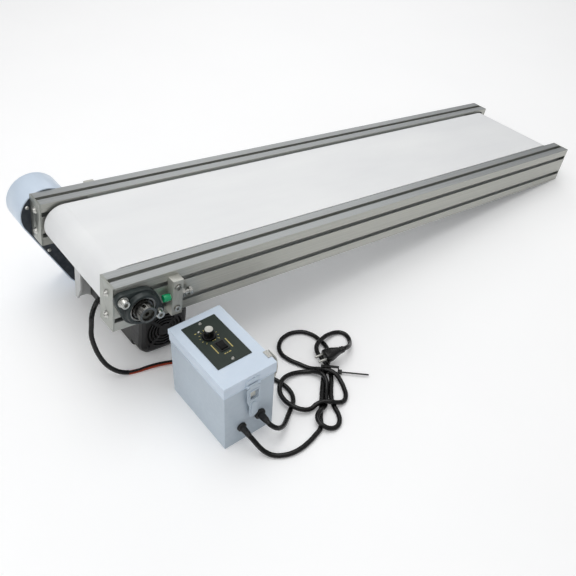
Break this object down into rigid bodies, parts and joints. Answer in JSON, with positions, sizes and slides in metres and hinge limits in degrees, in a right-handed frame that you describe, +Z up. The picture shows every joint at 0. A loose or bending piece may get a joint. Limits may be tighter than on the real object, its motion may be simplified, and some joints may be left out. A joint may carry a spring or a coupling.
{
  "type": "belt conveyor section",
  "caption": "Low belt conveyor section between two slotted rails, with a chain-driven roller under a rounded guard, an underslung gear motor and a cabled speed control box.",
  "frame": {"origin": "on the floor, under the middle of the section and its control box (cords left out)", "axes": "+X along the section from the drive end to the tail end, +Y across it from the control box side to the chain guard side, +Z up"},
  "size_m": [1.2181, 0.6071, 0.23],
  "materials": {
    "anodised_rail": "satin anodised extrusion",
    "plain_aluminium": "brushed plate",
    "bright_steel": "zinc plated",
    "bearing_steel": "ground steel",
    "black_steel": "black oxide",
    "galvanised_steel": "galvanised",
    "white_belt": "matte white belt cover",
    "dark_green_iron": "painted casting",
    "zinc_block": "bright zinc",
    "green_plastic": "glossy",
    "grey_bracket": "light grey powder coat",
    "black_motor": "black enamel",
    "copper_winding": "lacquered copper",
    "black_plastic": "moulded",
    "gloss_black": "moulded, glossy",
    "navy_steel": "dark navy paint",
    "blue_grey_paint": "pale blue-grey powder coat",
    "box_paint": "pale blue-grey powder coat",
    "bronze": "sintered bronze",
    "panel_green": "dark green printed panel",
    "black_rubber": "moulded",
    "cord_jacket": "smooth PVC"
  },
  "bodies": {
    "frame": {"rail_near": "anodised_rail", "rail_far": "anodised_rail", "end_plates": "plain_aluminium", "end_plate_screws": "bright_steel", "cross_members": "galvanised_steel", "slider_bed": "galvanised_steel", "frame_screws": "black_steel", "slot_nuts": "bright_steel", "belt": "white_belt", "bearing_housings": "dark_green_iron", "bearing_rings_and_balls": "bearing_steel", "bearing_bolts": "bright_steel", "tension_blocks": "zinc_block", "tension_bolts": "bright_steel", "tension_caps": "green_plastic", "tail_axle": "bright_steel", "tail_axle_holders": "black_steel", "tail_inner_rings": "bearing_steel", "motor_bracket": "grey_bracket", "gearhead_case": "black_motor", "gearhead_cover": "black_motor", "motor_housing": "black_motor", "motor_end_shield": "black_motor", "stator": "copper_winding", "fan_cover": "black_plastic", "guard_back_plate": "navy_steel", "guard_cover": "blue_grey_paint", "guard_screws": "bright_steel", "output_bush": "bronze", "drive_chain": "black_steel", "box_body": "box_paint", "box_hinge": "bright_steel", "latch_bases": "zinc_block", "cord_glands": "black_rubber", "box_electrics": "black_plastic", "motor_cable": "cord_jacket", "power_cord_tube": "cord_jacket", "power_cord_hank": "cord_jacket", "cable_tie": "black_plastic", "power_plug": "cord_jacket"},
    "drive_roller": {"drive_roller": "galvanised_steel", "drive_shaft": "bright_steel", "bearing_inner_rings": "bearing_steel", "roller_sprocket": "black_steel"},
    "tail_roller": {"tail_roller": "galvanised_steel", "tail_rings_and_balls": "bearing_steel"},
    "output": {"output_shaft": "bright_steel", "output_gear": "bearing_steel", "motor_sprocket": "black_steel"},
    "idler": {"idler_gear": "bearing_steel"},
    "rotor": {"rotor": "bearing_steel", "cooling_fan": "black_plastic"},
    "lid": {"box_lid": "blue_grey_paint", "lid_fittings": "bright_steel", "face_plate": "panel_green", "speed_controller": "black_plastic"},
    "knob": {"speed_knob": "gloss_black"},
    "rocker": {"rocker_switch": "gloss_black"},
    "hasp": {"hasp": "box_paint"},
    "side_latch": {"side_latch": "zinc_block"}
  },
  "joints": [
    {"name": "drive_roller_spin", "type": "hinge", "parent": "frame", "child": "drive_roller", "pos_m": [-0.5493, 0.06645, 0.18507], "axis": [0, 1, 0], "continuous": true},
    {"name": "tail_roller_spin", "type": "hinge", "parent": "frame", "child": "tail_roller", "pos_m": [0.56187, 0.06645, 0.0447], "axis": [0, 1, 0], "continuous": true},
    {"name": "output_spin", "type": "hinge", "parent": "frame", "child": "output", "pos_m": [-0.49929, 0.12745, 0.05113], "axis": [0, 1, 0], "continuous": true},
    {"name": "idler_spin", "type": "hinge", "parent": "frame", "child": "idler", "pos_m": [-0.48295, 0.12745, 0.06913], "axis": [0, 1, 0], "continuous": true},
    {"name": "rotor_spin", "type": "hinge", "parent": "frame", "child": "rotor", "pos_m": [-0.48144, 0.06645, 0.04888], "axis": [0, 1, 0], "continuous": true},
    {"name": "lid_hinge", "type": "hinge", "parent": "frame", "child": "lid", "pos_m": [-0.473, -0.10755, 0.13], "axis": [-1, 0, 0], "range_deg": [0, 60]},
    {"name": "knob_turn", "type": "hinge", "parent": "lid", "child": "knob", "pos_m": [-0.479, -0.16155, 0.142], "axis": [0, 0, 1], "range_deg": [-135, 135]},
    {"name": "rocker_tilt", "type": "hinge", "parent": "lid", "child": "rocker", "pos_m": [-0.474, -0.18855, 0.1406], "axis": [1, 0, 0], "range_deg": [-10, 10]},
    {"name": "hasp_swing", "type": "hinge", "parent": "lid", "child": "hasp", "pos_m": [-0.47, -0.26315, 0.1215], "axis": [-1, 0, 0], "range_deg": [0, 140]},
    {"name": "side_latch_swing", "type": "hinge", "parent": "frame", "child": "side_latch", "pos_m": [-0.4215, -0.24055, 0.098], "axis": [0, 1, 0], "range_deg": [0, 120]}
  ],
  "couplings": [
    {"joint": "tail_roller_spin", "follows": "drive_roller_spin", "ratio": 1},
    {"joint": "output_spin", "follows": "drive_roller_spin", "ratio": 1},
    {"joint": "idler_spin", "follows": "drive_roller_spin", "ratio": -3},
    {"joint": "rotor_spin", "follows": "drive_roller_spin", "ratio": 12}
  ]
}
